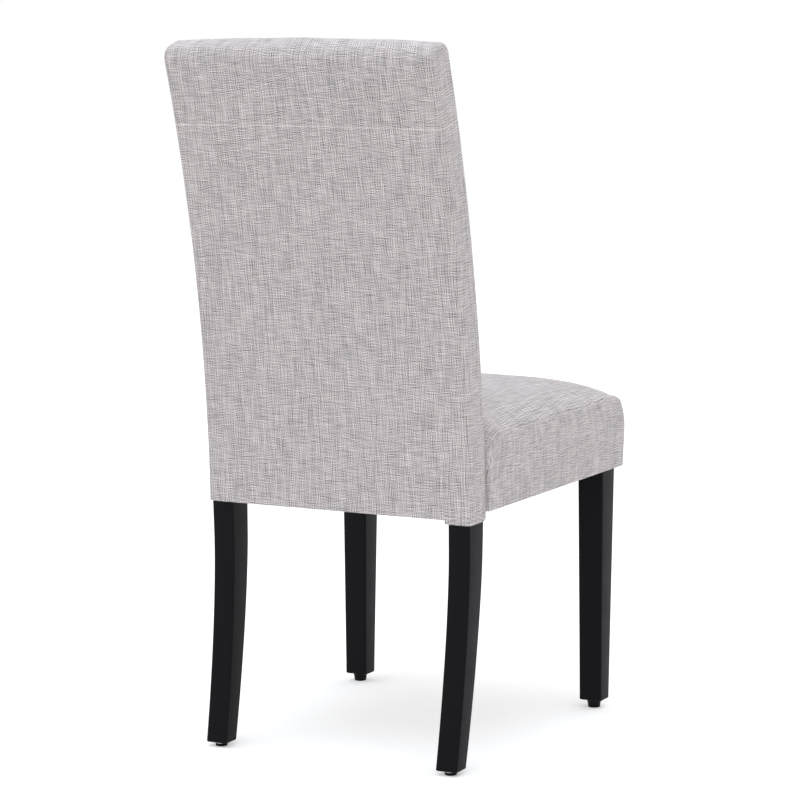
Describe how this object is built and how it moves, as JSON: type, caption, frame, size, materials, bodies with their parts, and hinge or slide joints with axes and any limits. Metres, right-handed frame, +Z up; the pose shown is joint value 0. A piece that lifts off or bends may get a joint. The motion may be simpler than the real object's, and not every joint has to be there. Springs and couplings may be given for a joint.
{
  "type": "parsons dining chair",
  "caption": "Upholstered armless dining chair with a tall back that curves rearwards, a crowned boxed seat and square black wooden legs on glides.",
  "frame": {"origin": "on the floor, under the middle of the chair's bounding box", "axes": "+Z up, -Y the way the sitter faces, +X the sitter's left"},
  "size_m": [0.4458, 0.5754, 0.9992],
  "materials": {
    "cloth": "pale grey linen-look plain weave with light and dark slubs",
    "black_lacquer": "satin black lacquer over faint wood grain, slightly worn edges",
    "frame_wood": "sawn softwood, unfinished",
    "block_wood": "sawn beech, unfinished",
    "foam": "open-cell polyurethane foam",
    "wadding": "white polyester wadding",
    "webbing": "woven elastic webbing with stripes",
    "black_felt": "thin black non-woven sheet",
    "glide_plastic": "moulded black plastic",
    "zinc": "bright zinc-plated steel"
  },
  "bodies": {
    "root": {"rear_post_left": "black_lacquer", "rear_post_right": "black_lacquer", "crest_rail": "frame_wood", "back_middle_rail": "frame_wood", "back_lower_rail": "frame_wood", "back_belt_1": "webbing", "back_belt_2": "webbing", "back_belt_3": "webbing", "back_belt_4": "webbing", "back_foam": "foam", "back_wadding": "wadding", "back_cover": "cloth", "front_leg_left": "black_lacquer", "front_leg_right": "black_lacquer", "seat_rail_left": "frame_wood", "seat_rail_right": "frame_wood", "seat_rail_front": "frame_wood", "seat_rail_rear": "frame_wood", "corner_block_front_left": "block_wood", "corner_block_front_right": "block_wood", "corner_block_rear_left": "block_wood", "corner_block_rear_right": "block_wood", "seat_belt_long_1": "webbing", "seat_belt_long_2": "webbing", "seat_belt_long_3": "webbing", "seat_belt_cross_1": "webbing", "seat_belt_cross_2": "webbing", "seat_belt_cross_3": "webbing", "seat_belt_cross_4": "webbing", "seat_foam": "foam", "seat_front_pad": "foam", "seat_cover": "cloth", "dust_cover": "black_felt", "leg_bolt_left": "zinc", "leg_bolt_right": "zinc", "leg_washer_left": "zinc", "leg_washer_right": "zinc", "leg_nut_left": "zinc", "leg_nut_right": "zinc", "block_screw_front_side_left": "zinc", "block_screw_front_side_right": "zinc", "block_screw_front_cross_left": "zinc", "block_screw_front_cross_right": "zinc", "block_screw_rear_side_left": "zinc", "block_screw_rear_side_right": "zinc", "block_screw_rear_cross_left": "zinc", "block_screw_rear_cross_right": "zinc", "seat_bolt_1": "zinc", "seat_bolt_2": "zinc", "seat_bolt_3": "zinc", "seat_bolt_4": "zinc", "seat_insert_1": "zinc", "seat_insert_2": "zinc", "seat_insert_3": "zinc", "seat_insert_4": "zinc", "glide_front_left": "glide_plastic", "glide_front_right": "glide_plastic", "glide_rear_left": "glide_plastic", "glide_rear_right": "glide_plastic"}
  },
  "joints": []
}
